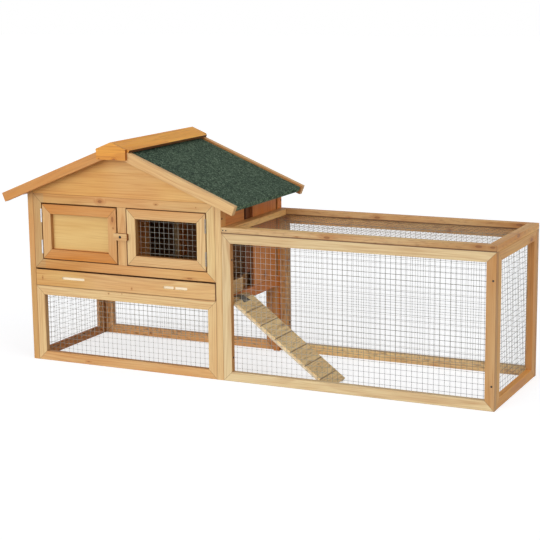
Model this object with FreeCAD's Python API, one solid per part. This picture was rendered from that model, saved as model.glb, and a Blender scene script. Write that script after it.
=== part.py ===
import FreeCAD, Part
import math
import os

# Rabbit hutch: a gabled two-room house on legs, with a long mesh run at its right side.
# The house front faces -Y, the run lies towards +X, the floor is at Z = 0.
# Sizes are millimetres. Places are measured from the front left foot of the house,
# and every piece is shifted at the end so that the origin lies under the middle.

# Main sizes
house_wide = 671
run_long = 826
body_deep = 412
run_panel_high = 440

# Pine strips used in every frame
strip_wide = 28.5
strip_thick = 18
edge_ease = 0.8
mitre_gap = 0.2
post_wide = 20.5
post_deep = 29

# Heights up the house front
lower_frame_high = 237
drawer_under_gap = 1
drawer_front_high = 50
drawer_over_gap = 4.5
upper_frame_high = 233

# Doors
mullion_wide = 31
door_hinge_gap = 2.5
door_free_gap = 1.5
door_end_gap = 2.25
left_door_free_gap = 3.5
left_door_top_gap = 3.5
door_strip_wide = 30
door_panel_thick = 4

# Boards
board_thick = 10
board_rows = 5
gable_board_high = 75
side_rail_wide = 32
side_rail_rise = 8
doorway_wide = 178
wall_slit = 13
header_wide = 121
lining_thick = 10
lining_reach = 28
lining_gap = 2
partition_front_wide = 140
partition_rear_wide = 47
partition_door_high = 168

# Roof, with heights measured square to the slope from the underside of the bargeboards
eave_drop = 3.5
roof_slope_share = 0.4045
eave_reach = 65.5
front_overhang = 40
rear_overhang = 32.5
roof_board_inset = 5
roof_board_seat = 8
roof_board_thick = 12
felt_thick = 2.5

# Ridge cap
cap_board_thick = 8.2
cap_half_wide = 58
cap_plate_half_wide = 50
cap_plate_drop = 12.5
cap_plate_thick = 10

# Welded mesh
wire_thick = 1
mesh_pitch = 16
wire_overhang = 10

# Drawer under the rooms
tray_side_gap = 3
tray_lift = 2
tray_base_thick = 4
tray_wall_thick = 8
tray_wall_high = 44
tray_back_gap = 8
drawer_front_gap = 1
slot_long = 81
slot_high = 8
slot_deep = 5
slot_offset = 179
slot_rise = 27.5
runner_wide = 27
runner_high = 18
running_gap = 0.3

# Butt hinges of the doors
hinge_long = 42
hinge_leaf_thick = 1
hinge_leaf_deep = 14
hinge_inset = 37
knuckle_radius = 2.5
pin_radius = 1
pin_play = 0.05
knuckle_split_gap = 0.3

# Turn button on the mullion
button_long = 46
button_wide = 21
button_thick = 11
button_corner_radius = 3
button_screw_radius = 2
button_screw_play = 0.1
button_screw_deep = 14
button_head_radius = 4
button_head_high = 2.2

# Ledge and ramp inside the run
ramp_mesh_gap = 1
ramp_wide = 115
ledge_reach = 22
ledge_drop = 5
ledge_thick = 16
ramp_axis_reach = 2.5
ramp_start = 9
ramp_first_plank = 45.5
ramp_plank_pitch = 58.8
ramp_plank_gap = 1
ramp_plank_count = 7
ramp_plank_thick = 5
ramp_strip_thick = 6
ramp_strip_wide = 14
ramp_slope_share = 0.753
butterfly_knuckle_radius = 2
butterfly_knuckle_long = 24
butterfly_wide = 42
butterfly_reach = 22

# Screw and nail heads
screw_head_radius = 3
screw_head_high = 1.5
screw_dome_share = 0.6
nail_head_radius = 2
nail_head_high = 0.8
head_sides = 12
barrel_sides = 16
run_screw_low = 70
run_screw_drop = 78
post_screw_drop = 43.5
post_screw_inset = 5.5
foot_screw_high = 6
foot_screw_inset = 24
back_screw_high = 93
nail_inset = 5.5
nail_spacing = 10

# Derived places: heights and places that follow from the sizes above
house_mid = house_wide / 2
run_end = house_wide + run_long
back_inner = body_deep - strip_thick
rear_post_near = body_deep - post_deep
frame_left = post_wide
frame_right = house_wide - post_wide
drawer_low = lower_frame_high + drawer_under_gap
upper_frame_low = drawer_low + drawer_front_high + drawer_over_gap
upper_frame_top = upper_frame_low + upper_frame_high
opening_left = frame_left + strip_wide
opening_right = frame_right - strip_wide
opening_low = upper_frame_low + strip_wide
opening_top = upper_frame_top - strip_wide
button_high = (opening_low + opening_top) / 2
wall_panel_low = lower_frame_high + side_rail_rise
side_rail_low = wall_panel_low - side_rail_wide
sill_high = drawer_low + drawer_front_high
doorway_far = post_deep + doorway_wide
header_far = post_deep + header_wide
wall_panel_far = rear_post_near - wall_slit
lining_near = doorway_far - lining_reach
lining_low = sill_high + lining_gap
ledge_near = strip_thick + 2 * wire_thick + ramp_mesh_gap
ledge_top = wall_panel_low - ledge_drop
run_screw_top = run_panel_high - run_screw_drop
post_screw_high = upper_frame_top - post_screw_drop
eave_high = upper_frame_top - eave_drop
mullion_left = house_mid - mullion_wide / 2
mullion_right = house_mid + mullion_wide / 2
door_low = opening_low + door_end_gap
door_top = opening_top - door_end_gap
left_door_left = opening_left + door_hinge_gap
left_door_right = mullion_left - left_door_free_gap
left_door_top = opening_top - left_door_top_gap
right_door_left = mullion_right + door_free_gap
right_door_right = opening_right - door_hinge_gap
roof_angle = math.atan(roof_slope_share)
roof_cos = math.cos(roof_angle)
roof_sin = math.sin(roof_angle)
roof_ridge = eave_high + roof_slope_share * house_mid
roof_length = (house_mid + eave_reach - strip_wide * roof_sin) / roof_cos
cap_top = strip_wide + cap_board_thick
cap_length = (cap_half_wide - cap_top * roof_sin) / roof_cos
roof_front = -front_overhang
roof_rear = body_deep + rear_overhang
wall_outer = strip_thick - board_thick
ramp_angle = math.atan(ramp_slope_share)
ramp_axis_x = house_wide + ledge_reach + ramp_axis_reach
ramp_axis_z = ledge_top + hinge_leaf_thick

# Directions
right = FreeCAD.Vector(1, 0, 0)
back = FreeCAD.Vector(0, 1, 0)
up = FreeCAD.Vector(0, 0, 1)
parallel_share = 0.999

pieces = {}


def keep(name, solids):
    pieces.setdefault(name, []).extend(solids)


def place(across, u, v, w):
    """A point of the plane square to the direction named by across, at depth w."""
    if across == "x":
        return FreeCAD.Vector(w, u, v)
    if across == "y":
        return FreeCAD.Vector(u, w, v)
    return FreeCAD.Vector(u, v, w)


def prism(across, corners, start, end):
    points = [place(across, u, v, start) for u, v in corners]
    face = Part.Face(Part.makePolygon(points + points[:1]))
    return face.extrude(place(across, 0, 0, end - start))


def block(x0, x1, y0, y1, z0, z1):
    return Part.makeBox(x1 - x0, y1 - y0, z1 - z0, FreeCAD.Vector(x0, y0, z0))


def eased(solid, along):
    """Take the sharpness off the long edges that run in one direction."""
    long_edges = []
    for edge in solid.Edges:
        run = edge.Vertexes[-1].Point - edge.Vertexes[0].Point
        if abs(run.dot(along)) > parallel_share * run.Length:
            long_edges.append(edge)
    return solid.makeChamfer(edge_ease, long_edges)


def eased_block(x0, x1, y0, y1, z0, z1, along):
    return eased(block(x0, x1, y0, y1, z0, z1), along)


def mitred_frame(across, u0, u1, v0, v1, wide, start, end):
    """Four strips that meet on 45 degree mitres around a rectangular opening."""
    outer = [(u0, v0), (u1, v0), (u1, v1), (u0, v1)]
    inner = [(u0 + wide, v0 + wide), (u1 - wide, v0 + wide), (u1 - wide, v1 - wide), (u0 + wide, v1 - wide)]
    rails = []
    for i in range(len(outer)):
        j = (i + 1) % len(outer)
        along = place(across, *outer[j], 0) - place(across, *outer[i], 0)
        along.normalize()
        step = along * (mitre_gap / 2)
        points = [place(across, *outer[i], start) + step, place(across, *outer[j], start) - step,
                  place(across, *inner[j], start) - step, place(across, *inner[i], start) + step]
        face = Part.Face(Part.makePolygon(points + points[:1]))
        rails.append(eased(face.extrude(place(across, 0, 0, end - start)), along))
    return rails


def wire_places(low, high):
    count = int((high - low - wire_thick) / mesh_pitch) + 1
    first = (low + high - (count - 1) * mesh_pitch - wire_thick) / 2
    return [first + i * mesh_pitch for i in range(count)]


def mesh(across, u0, u1, v0, v1, seat, side):
    """Welded mesh: two layers of straight wires, the first lying on the frame at seat."""
    low_u, high_u = u0 - wire_overhang, u1 + wire_overhang
    low_v, high_v = v0 - wire_overhang, v1 + wire_overhang
    near = seat + side * wire_thick
    far = near + side * wire_thick
    wires = []
    for u in wire_places(low_u, high_u):
        corners = [(u, low_v), (u + wire_thick, low_v), (u + wire_thick, high_v), (u, high_v)]
        wires.append(prism(across, corners, seat, near))
    for v in wire_places(low_v, high_v):
        corners = [(low_u, v), (high_u, v), (high_u, v + wire_thick), (low_u, v + wire_thick)]
        wires.append(prism(across, corners, near, far))
    return wires


def under_roof(x):
    """Height of the underside of the roof boards over a place across the house."""
    return roof_ridge + roof_board_seat / roof_cos - roof_slope_share * abs(x - house_mid)


def roof_layer(side, low, high, length, front, rear):
    """One sloping layer from the ridge plane down to a square-cut lower end."""
    corners = []
    for height in (low, high):
        corners.append((house_mid, roof_ridge + height / roof_cos))
    for height in (high, low):
        reach = length * roof_cos + height * roof_sin
        corners.append((house_mid + side * reach, roof_ridge - length * roof_sin + height * roof_cos))
    return prism("y", corners, front, rear)


def to_roof(x0, x1, y0, y1, low):
    """An upright piece whose top is cut to the slope of the roof."""
    corners = [(x0, low), (x1, low), (x1, under_roof(x1)), (x0, under_roof(x0))]
    return prism("y", corners, y0, y1)


def build_posts():
    keep("front_left_post", [eased(to_roof(0, post_wide, 0, post_deep, 0), up)])
    keep("front_right_post", [eased(to_roof(frame_right, house_wide, 0, post_deep, 0), up)])
    keep("rear_left_post", [eased(to_roof(0, post_wide, rear_post_near, body_deep, 0), up)])
    keep("rear_right_post", [eased(to_roof(frame_right, house_wide, rear_post_near, body_deep, 0), up)])


def build_front():
    keep("upper_front_frame", mitred_frame("y", frame_left, frame_right, upper_frame_low,
                                           upper_frame_top, strip_wide, 0, strip_thick))
    mullion = eased_block(mullion_left, mullion_right, 0, strip_thick, opening_low, opening_top, up)
    hole = Part.makeCylinder(button_screw_radius, button_screw_deep, FreeCAD.Vector(house_mid, 0, button_high), back)
    keep("door_mullion", [mullion.cut(hole)])


def build_lower_frames():
    keep("lower_front_frame", mitred_frame("y", frame_left, frame_right, 0, lower_frame_high,
                                           strip_wide, 0, strip_thick))
    keep("lower_back_frame", mitred_frame("y", frame_left, frame_right, 0, lower_frame_high,
                                          strip_wide, back_inner, body_deep))
    keep("lower_left_frame", mitred_frame("x", post_deep, rear_post_near, 0, lower_frame_high,
                                          strip_wide, post_wide - board_thick, post_wide))
    top = lower_frame_high - strip_wide
    keep("lower_front_mesh", mesh("y", opening_left, opening_right, strip_wide, top, strip_thick, 1))
    keep("lower_back_mesh", mesh("y", opening_left, opening_right, strip_wide, top, back_inner, -1))
    keep("lower_left_mesh", mesh("x", post_deep + strip_wide, rear_post_near - strip_wide,
                                 strip_wide, top, post_wide, 1))


def build_walls():
    row = (under_roof(wall_outer) - lower_frame_high) / board_rows
    boards = []
    for i in range(board_rows - 1):
        low = lower_frame_high + i * row
        boards.append(eased_block(wall_outer, strip_thick, post_deep, rear_post_near, low, low + row, back))
    low = lower_frame_high + (board_rows - 1) * row
    boards.append(eased(to_roof(wall_outer, strip_thick, post_deep, rear_post_near, low), back))
    keep("upper_left_wall", boards)
    row = (upper_frame_top - lower_frame_high) / board_rows
    boards = []
    for i in range(board_rows):
        low = lower_frame_high + i * row
        boards.append(eased_block(frame_left, frame_right, back_inner, back_inner + board_thick,
                                  low, low + row, right))
    keep("upper_back_wall", boards)


def build_right_wall():
    inner = house_wide - board_thick
    panel = to_roof(inner, house_wide, doorway_far, wall_panel_far, wall_panel_low)
    keep("right_wall_panel", [eased(panel, up)])
    header = to_roof(inner, house_wide, post_deep, header_far, run_panel_high)
    keep("doorway_header", [eased(header, up)])
    keep("right_wall_lining", [to_roof(inner - lining_thick, inner, lining_near, rear_post_near, lining_low)])
    inner = house_wide - strip_thick
    keep("right_side_rail", [eased_block(inner, house_wide, post_deep, rear_post_near,
                                         side_rail_low, wall_panel_low, back)])
    keep("doorway_sill", [eased_block(inner, house_wide, post_deep, ledge_near + ramp_wide,
                                      wall_panel_low, sill_high, back)])


def build_partition():
    near = strip_thick + partition_front_wide
    far = back_inner - partition_rear_wide
    top = sill_high + partition_door_high
    corners = [(strip_thick, sill_high), (near, sill_high), (near, top), (far, top),
               (far, sill_high), (back_inner, sill_high),
               (back_inner, upper_frame_top), (strip_thick, upper_frame_top)]
    keep("room_partition", [prism("x", corners, mullion_left, mullion_left + strip_thick)])


def build_gables():
    joint = upper_frame_top + gable_board_high
    half = (under_roof(house_mid) - joint) / roof_slope_share
    lower = [(frame_left, upper_frame_top), (frame_right, upper_frame_top),
             (frame_right, under_roof(frame_right)), (house_mid + half, joint),
             (house_mid - half, joint), (frame_left, under_roof(frame_left))]
    upper = [(house_mid - half, joint), (house_mid + half, joint), (house_mid, under_roof(house_mid))]
    for name, near in (("gable_front", 0), ("gable_rear", back_inner)):
        boards = [eased(prism("y", corners, near, near + board_thick), right) for corners in (lower, upper)]
        keep(name, boards)


def roof_felt(side, front, rear):
    """Felt on top of a roof board, folded down over the board's lower end."""
    low = roof_board_seat + roof_board_thick
    top = low + felt_thick
    edge = roof_length - roof_board_inset
    inner = edge - felt_thick
    corners = [(house_mid, roof_ridge + low / roof_cos), (house_mid, roof_ridge + top / roof_cos)]
    for length, height in ((edge, top), (edge, roof_board_seat), (inner, roof_board_seat), (inner, low)):
        reach = length * roof_cos + height * roof_sin
        corners.append((house_mid + side * reach, roof_ridge - length * roof_sin + height * roof_cos))
    return prism("y", corners, front, rear)


def build_roof():
    front = roof_front + strip_thick
    rear = roof_rear - strip_thick
    board_top = roof_board_seat + roof_board_thick
    board_length = roof_length - roof_board_inset - felt_thick
    for side, name in ((-1, "left"), (1, "right")):
        slope = FreeCAD.Vector(side * roof_cos, 0, -roof_sin)
        keep("roof_board_" + name, [roof_layer(side, roof_board_seat, board_top, board_length, front, rear)])
        keep("roof_felt_" + name, [roof_felt(side, front, rear)])
        for end, y0, y1 in (("front", roof_front, front), ("rear", rear, roof_rear)):
            board = roof_layer(side, 0, strip_wide, roof_length, y0, y1)
            keep("bargeboards_" + end, [eased(board, slope)])
        cap = roof_layer(side, strip_wide, cap_top, cap_length, roof_front, roof_rear)
        keep("ridge_cap_boards", [cap])
    apex = roof_ridge + cap_top / roof_cos
    shoulder = apex - roof_slope_share * cap_plate_half_wide
    left_edge = house_mid - cap_plate_half_wide
    right_edge = house_mid + cap_plate_half_wide
    low = roof_ridge - cap_plate_drop
    plate = [(left_edge, low), (right_edge, low), (right_edge, shoulder),
             (house_mid, apex), (left_edge, shoulder)]
    keep("ridge_cap_plates", [prism("y", plate, roof_front - cap_plate_thick, roof_front),
                              prism("y", plate, roof_rear, roof_rear + cap_plate_thick)])


def build_doors():
    keep("left_door_frame", mitred_frame("y", left_door_left, left_door_right, door_low, left_door_top,
                                         door_strip_wide, 0, strip_thick))
    keep("right_door_frame", mitred_frame("y", right_door_left, right_door_right, door_low, door_top,
                                          door_strip_wide, 0, strip_thick))
    low = door_low + door_strip_wide
    top = door_top - door_strip_wide
    keep("left_door_panel", [block(left_door_left + door_strip_wide, left_door_right - door_strip_wide,
                                   strip_thick - door_panel_thick, strip_thick,
                                   low, left_door_top - door_strip_wide)])
    keep("right_door_mesh", mesh("y", right_door_left + door_strip_wide, right_door_right - door_strip_wide,
                                 low, top, strip_thick, 1))


def faceted_bar(radius, tall, base, along, sides):
    """A round bar with flat sides, for small pieces whose true curve can't be seen."""
    first = right if abs(along.z) > parallel_share else up
    second = along.cross(first)
    points = []
    for i in range(sides):
        turn = 2 * math.pi * i / sides
        points.append(base + first * (radius * math.cos(turn)) + second * (radius * math.sin(turn)))
    return Part.Face(Part.makePolygon(points + points[:1])).extrude(along * tall)


def knuckles(start, along, radius, length, part):
    """Barrel pieces around a pin: the outer two for the fixed leaf, the middle one for the other."""
    third = length / 3
    barrels = []
    for i in range(3):
        if (i == 1) == (part == "middle"):
            low = start + along * (i * third + knuckle_split_gap / 2)
            barrels.append((low, third - knuckle_split_gap))
    solids = [faceted_bar(radius, tall, low, along, barrel_sides) for low, tall in barrels]
    return solids, barrels


def hinge_half(plate, webs, solids, start, along, length, part):
    """Join a leaf to its own barrels, with the pin in the fixed half and a bore in the other."""
    leaf = plate
    for piece in webs + solids:
        leaf = leaf.fuse(piece)
    if part == "middle":
        return leaf.cut(Part.makeCylinder(pin_radius + pin_play, length, start, along))
    return leaf.fuse(Part.makeCylinder(pin_radius, length, start, along)).removeSplitter()


def butt_hinge(gap_left, gap_right, frame_at_left, low):
    axis_x = (gap_left + gap_right) / 2
    start = FreeCAD.Vector(axis_x, -knuckle_radius, low)
    halves = []
    for part in ("outer", "middle"):
        at_left = frame_at_left == (part == "outer")
        x0 = gap_left if at_left else gap_right - hinge_leaf_thick
        x1 = x0 + hinge_leaf_thick
        plate = block(x0, x1, running_gap, hinge_leaf_deep, low, low + hinge_long)
        solids, barrels = knuckles(start, up, knuckle_radius, hinge_long, part)
        webs = [block(x0, x1, -knuckle_radius, running_gap, base.z, base.z + tall) for base, tall in barrels]
        halves.append(hinge_half(plate, webs, solids, start, up, hinge_long, part))
    return halves


def build_door_hinges():
    lows = (door_low + hinge_inset - hinge_long / 2, door_top - hinge_inset - hinge_long / 2)
    for low in lows:
        frame_half, door_half = butt_hinge(opening_left, left_door_left, True, low)
        keep("left_hinge_frame_leaves", [frame_half])
        keep("left_hinge_door_leaves", [door_half])
        frame_half, door_half = butt_hinge(right_door_right, opening_right, False, low)
        keep("right_hinge_frame_leaves", [frame_half])
        keep("right_hinge_door_leaves", [door_half])


def build_turn_button():
    half = button_long / 2
    low = button_high - button_wide / 2
    front = -running_gap - button_thick
    bar = block(house_mid - half, house_mid + half, front, -running_gap, low, low + button_wide)
    corners = [edge for edge in bar.Edges
               if abs((edge.Vertexes[-1].Point - edge.Vertexes[0].Point).dot(back)) > parallel_share * edge.Length]
    bar = bar.makeFillet(button_corner_radius, corners)
    centre = FreeCAD.Vector(house_mid, front, button_high)
    bore = Part.makeCylinder(button_screw_radius + button_screw_play, button_thick, centre, back)
    keep("turn_button", [bar.cut(bore)])
    head_base = front - running_gap
    shank = Part.makeCylinder(button_screw_radius, button_screw_deep - head_base,
                              FreeCAD.Vector(house_mid, head_base, button_high), back)
    head = screw_head(FreeCAD.Vector(house_mid, head_base, button_high), -back,
                      button_head_radius, button_head_high)
    keep("turn_button_screw", [shank.fuse(head).removeSplitter()])


def screw_head(seat, out, radius, high):
    """A pan head standing on a face: a low drum whose outer edge is sloped off."""
    drum = faceted_bar(radius, high, seat, out, head_sides)
    top = max(drum.Faces, key=lambda face: face.CenterOfMass.dot(out))
    return drum.makeChamfer(high * screw_dome_share, top.Edges)


def build_drawer():
    left_end = frame_left + drawer_front_gap
    right_end = frame_right - drawer_front_gap
    front = eased_block(left_end, right_end, 0, strip_thick, drawer_low, drawer_low + drawer_front_high, right)
    slot_z = drawer_low + slot_rise
    for side in (-1, 1):
        centre = house_mid + side * slot_offset
        half = (slot_long - slot_high) / 2
        slot = block(centre - half, centre + half, 0, slot_deep, slot_z - slot_high / 2, slot_z + slot_high / 2)
        for end in (-half, half):
            slot = slot.fuse(Part.makeCylinder(slot_high / 2, slot_deep,
                                               FreeCAD.Vector(centre + end, 0, slot_z), back))
        front = front.cut(slot.removeSplitter())
    keep("drawer_front", [front])
    x0 = frame_left + tray_side_gap
    x1 = frame_right - tray_side_gap
    y1 = back_inner - tray_back_gap
    low = drawer_low + tray_lift
    floor = low + tray_base_thick
    top = low + tray_wall_high
    keep("drawer_base", [block(x0, x1, strip_thick, y1, low, floor)])
    keep("drawer_sides", [block(x0, x0 + tray_wall_thick, strip_thick, y1, floor, top),
                          block(x1 - tray_wall_thick, x1, strip_thick, y1, floor, top)])
    keep("drawer_back", [block(x0 + tray_wall_thick, x1 - tray_wall_thick, y1 - tray_wall_thick, y1, floor, top)])
    runner_top = low - running_gap
    inner = house_wide - strip_thick
    keep("drawer_runners", [block(post_wide, post_wide + runner_wide, post_deep, rear_post_near,
                                  runner_top - runner_high, runner_top),
                            block(inner - runner_wide, inner, post_deep, rear_post_near,
                                  runner_top - runner_high, runner_top)])


def build_run():
    left = house_wide + strip_wide
    right_edge = run_end - strip_wide
    top = run_panel_high - strip_wide
    end_inner = run_end - strip_thick
    keep("run_front_frame", mitred_frame("y", house_wide, run_end, 0, run_panel_high, strip_wide, 0, strip_thick))
    keep("run_front_mesh", mesh("y", left, right_edge, strip_wide, top, strip_thick, 1))
    keep("run_back_frame", mitred_frame("y", house_wide, run_end, 0, run_panel_high, strip_wide,
                                        back_inner, body_deep))
    keep("run_back_mesh", mesh("y", left, right_edge, strip_wide, top, back_inner, -1))
    keep("run_end_frame", mitred_frame("x", strip_thick, back_inner, 0, run_panel_high, strip_wide,
                                       end_inner, run_end))
    keep("run_end_mesh", mesh("x", strip_thick + strip_wide, back_inner - strip_wide, strip_wide, top,
                              end_inner, -1))
    keep("run_top_frame", mitred_frame("z", house_wide, run_end, 0, body_deep, strip_wide,
                                       run_panel_high, run_panel_high + strip_thick))
    keep("run_top_mesh", mesh("z", left, right_edge, strip_wide, body_deep - strip_wide, run_panel_high, -1))


def on_ramp(s, h):
    """A point of the ramp's side view, s down the slope from the hinge axis and h square to it."""
    x = ramp_axis_x + s * math.cos(ramp_angle) + h * math.sin(ramp_angle)
    z = ramp_axis_z - s * math.sin(ramp_angle) + h * math.cos(ramp_angle)
    return (x, z)


def ramp_prism(s0, s1, h0, h1, y0, y1):
    return prism("y", [on_ramp(s0, h0), on_ramp(s1, h0), on_ramp(s1, h1), on_ramp(s0, h1)], y0, y1)


def build_ramp():
    y1 = ledge_near + ramp_wide
    top = -hinge_leaf_thick
    under_planks = top - ramp_plank_thick
    foot_h = under_planks - ramp_strip_thick
    foot_s = (ramp_axis_z + foot_h * math.cos(ramp_angle)) / math.sin(ramp_angle)
    strips = []
    for y0 in (ledge_near, y1 - ramp_strip_wide):
        strips.append(ramp_prism(ramp_start, foot_s, foot_h, under_planks, y0, y0 + ramp_strip_wide))
    keep("ramp_side_strips", strips)
    planks = []
    start = ramp_start
    for i in range(ramp_plank_count):
        end = ramp_start + ramp_first_plank + i * ramp_plank_pitch
        if i == ramp_plank_count - 1:
            end = foot_s
        planks.append(ramp_prism(start, end, under_planks, top, ledge_near, y1))
        start = end + ramp_plank_gap
    keep("ramp_planks", planks)
    keep("ramp_ledge", [eased_block(house_wide, house_wide + ledge_reach, ledge_near, y1,
                                    ledge_top - ledge_thick, ledge_top, back)])


def butterfly_leaf(part, mid):
    """One wing of the ramp hinge: narrow at the pin and wide at its far edge."""
    near = butterfly_knuckle_radius + running_gap
    half_near = butterfly_knuckle_long / 2
    half_far = butterfly_wide / 2
    side = -1 if part == "outer" else 1
    corners = [(side * near, mid - half_near), (side * near, mid + half_near),
               (side * butterfly_reach, mid + half_far), (side * butterfly_reach, mid - half_far)]
    wing = prism("z", corners, -hinge_leaf_thick, 0)
    start = FreeCAD.Vector(0, mid - half_near, 0)
    solids, barrels = knuckles(start, back, butterfly_knuckle_radius, butterfly_knuckle_long, part)
    webs = []
    for base, tall in barrels:
        x0, x1 = sorted((0, side * near))
        webs.append(block(x0, x1, base.y, base.y + tall, -hinge_leaf_thick, 0))
    leaf = hinge_half(wing, webs, solids, start, back, butterfly_knuckle_long, part)
    if part == "middle":
        leaf.rotate(FreeCAD.Vector(0, 0, 0), back, math.degrees(ramp_angle))
    leaf.translate(FreeCAD.Vector(ramp_axis_x, 0, ramp_axis_z))
    return leaf


def build_ramp_hinge():
    mid = ledge_near + ramp_wide / 2
    keep("ramp_hinge_ledge_leaf", [butterfly_leaf("outer", mid)])
    keep("ramp_hinge_ramp_leaf", [butterfly_leaf("middle", mid)])


def build_screws():
    screws = []
    for z in (run_screw_low, run_screw_top):
        screws.append((FreeCAD.Vector(run_end - strip_thick / 2, 0, z), -back))
    inner = house_wide + strip_wide
    for z in (run_screw_low, run_screw_top):
        screws.append((FreeCAD.Vector(inner, strip_thick / 2, z), right))
    for z in (back_screw_high, run_screw_top):
        screws.append((FreeCAD.Vector(inner, body_deep - strip_thick / 2, z), right))
    for y in (post_screw_inset, body_deep - post_screw_inset):
        screws.append((FreeCAD.Vector(house_wide, y, post_screw_high), right))
        screws.append((FreeCAD.Vector(0, y, post_screw_high), -right))
    screws.append((FreeCAD.Vector(house_wide, body_deep - foot_screw_inset, foot_screw_high), right))
    for seat, out in screws:
        keep("frame_screws", [screw_head(seat, out, screw_head_radius, screw_head_high)])
    middle = run_panel_high + strip_thick / 2
    for y, out in ((0, -back), (body_deep, back)):
        for x in (house_wide + nail_inset, house_wide + nail_inset + nail_spacing):
            seat = FreeCAD.Vector(x, y, middle)
            keep("run_top_nails", [faceted_bar(nail_head_radius, nail_head_high, seat, out, head_sides)])


def write_parts():
    os.makedirs("parts", exist_ok=True)
    left_edge = house_mid - (house_mid + eave_reach)
    middle_x = (left_edge + run_end) / 2
    middle_y = (roof_front - cap_plate_thick + roof_rear + cap_plate_thick) / 2
    for name, solids in pieces.items():
        shape = solids[0] if len(solids) == 1 else Part.makeCompound(solids)
        shape.translate(FreeCAD.Vector(-middle_x, -middle_y, 0))
        shape.exportStep("parts/" + name + ".step")


build_posts()
build_front()
build_lower_frames()
build_walls()
build_right_wall()
build_partition()
build_gables()
build_roof()
build_doors()
build_door_hinges()
build_turn_button()
build_drawer()
build_run()
build_ramp()
build_ramp_hinge()
build_screws()
write_parts()
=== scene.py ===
# %% [markdown]
# # A rabbit hutch with a run, dressed for its portrait
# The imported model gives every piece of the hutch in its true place, in metres: posts, mitred
# frames, boards, wires, hinges and screws. This lesson gives those pieces their looks. A shape
# that is already right keeps its mesh and gets a material. Only the welded mesh is made again,
# because its packed wires have square sides and real wires are round.

# %% Load the frame
import math

import bmesh
import bpy
from mathutils import Matrix, Vector


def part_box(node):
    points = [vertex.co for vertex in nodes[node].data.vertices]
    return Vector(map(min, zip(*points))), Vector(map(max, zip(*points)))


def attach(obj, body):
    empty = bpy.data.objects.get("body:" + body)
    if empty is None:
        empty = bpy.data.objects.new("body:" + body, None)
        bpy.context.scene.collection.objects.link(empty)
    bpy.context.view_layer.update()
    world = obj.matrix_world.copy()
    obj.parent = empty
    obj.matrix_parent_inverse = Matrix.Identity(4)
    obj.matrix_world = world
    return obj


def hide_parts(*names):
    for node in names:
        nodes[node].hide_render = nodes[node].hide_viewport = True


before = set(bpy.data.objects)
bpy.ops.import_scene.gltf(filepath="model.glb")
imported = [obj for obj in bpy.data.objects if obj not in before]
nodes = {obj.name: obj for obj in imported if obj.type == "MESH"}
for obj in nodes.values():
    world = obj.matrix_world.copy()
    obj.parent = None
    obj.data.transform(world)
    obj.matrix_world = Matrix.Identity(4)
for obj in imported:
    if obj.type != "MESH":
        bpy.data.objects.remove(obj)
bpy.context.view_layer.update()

# %% [markdown]
# ## The camera
# The camera was worked out from corners whose places on the hutch are known: where they fall in
# the picture gives the viewpoint and the lens. A camera in Blender looks along its own -Z, with
# X to the right and Y up, so its matrix holds those three directions as columns. The small shift
# moves the picture without turning the camera.

# %% Camera
camera_place = Vector((1.91723, -3.94518, 1.15474))
camera_azimuth = math.radians(25.766)
camera_down = math.radians(11.041)
camera_roll = math.radians(-0.688)

forward = Vector((-math.sin(camera_azimuth) * math.cos(camera_down),
                  math.cos(camera_azimuth) * math.cos(camera_down),
                  -math.sin(camera_down)))
level_right = Vector((math.cos(camera_azimuth), math.sin(camera_azimuth), 0))
level_up = level_right.cross(forward)
camera_right = math.cos(camera_roll) * level_right + math.sin(camera_roll) * level_up
camera_up = -math.sin(camera_roll) * level_right + math.cos(camera_roll) * level_up

camera_data = bpy.data.cameras.new("portrait_camera")
camera_data.sensor_width = 36
camera_data.lens = 98.60
camera_data.shift_x = 0.0002
camera_data.shift_y = -0.0002
camera_data.clip_end = 60
camera = bpy.data.objects.new("portrait_camera", camera_data)
bpy.context.scene.collection.objects.link(camera)
turn = Matrix((camera_right, camera_up, -forward)).transposed()
camera.matrix_world = Matrix.Translation(camera_place) @ turn.to_4x4()
bpy.context.scene.camera = camera
print("camera at", tuple(round(v, 3) for v in camera_place), "lens", camera_data.lens)

# %% [markdown]
# ## Building materials in code
# A material is a tree of nodes, and each node takes several lines to add, set and link. These
# helpers keep the recipes short. An input may be a plain value or the output of another node:
# fill sets the one and links the other, and every other helper rests on it.

# %% Helpers: nodes, sums and places
def fill(tree, node, inputs):
    """Link every input that is given a socket, and set every one that is given a plain value."""
    for key, value in inputs.items():
        if isinstance(value, bpy.types.NodeSocket):
            tree.links.new(value, node.inputs[key])
        else:
            node.inputs[key].default_value = value
    return node


def add(tree, kind, inputs=None, **settings):
    node = tree.nodes.new(kind)
    for name, value in settings.items():
        setattr(node, name, value)
    return fill(tree, node, inputs or {})


def calc(tree, operation, *values):
    """One step of sums with numbers."""
    return add(tree, "ShaderNodeMath", dict(enumerate(values)), operation=operation).outputs[0]


def plus(tree, first, *others):
    for value in others:
        first = calc(tree, "ADD", first, value)
    return first


def times(tree, first, *others):
    for value in others:
        first = calc(tree, "MULTIPLY", first, value)
    return first


def minus(tree, first, second):
    return calc(tree, "SUBTRACT", first, second)


def vector_calc(tree, operation, *values):
    """One step of sums with places. A dot product or a length comes out as a number."""
    node = add(tree, "ShaderNodeVectorMath", dict(enumerate(values)), operation=operation)
    return node.outputs["Value" if operation in ("DOT_PRODUCT", "LENGTH") else "Vector"]


def split(tree, place):
    """The three measures of a place."""
    return add(tree, "ShaderNodeSeparateXYZ", {0: place}).outputs


def join(tree, *measures):
    """A place from two or three measures."""
    return add(tree, "ShaderNodeCombineXYZ", dict(enumerate(measures))).outputs[0]


def object_place(tree):
    return add(tree, "ShaderNodeTexCoord").outputs["Object"]


print("a node can be added, summed and split")

# %% Helpers: mixing, colours and groups
FLOAT, VECTOR, COLOUR = "NodeSocketFloat", "NodeSocketVector", "NodeSocketColor"
white = (1, 1, 1, 1)


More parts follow.
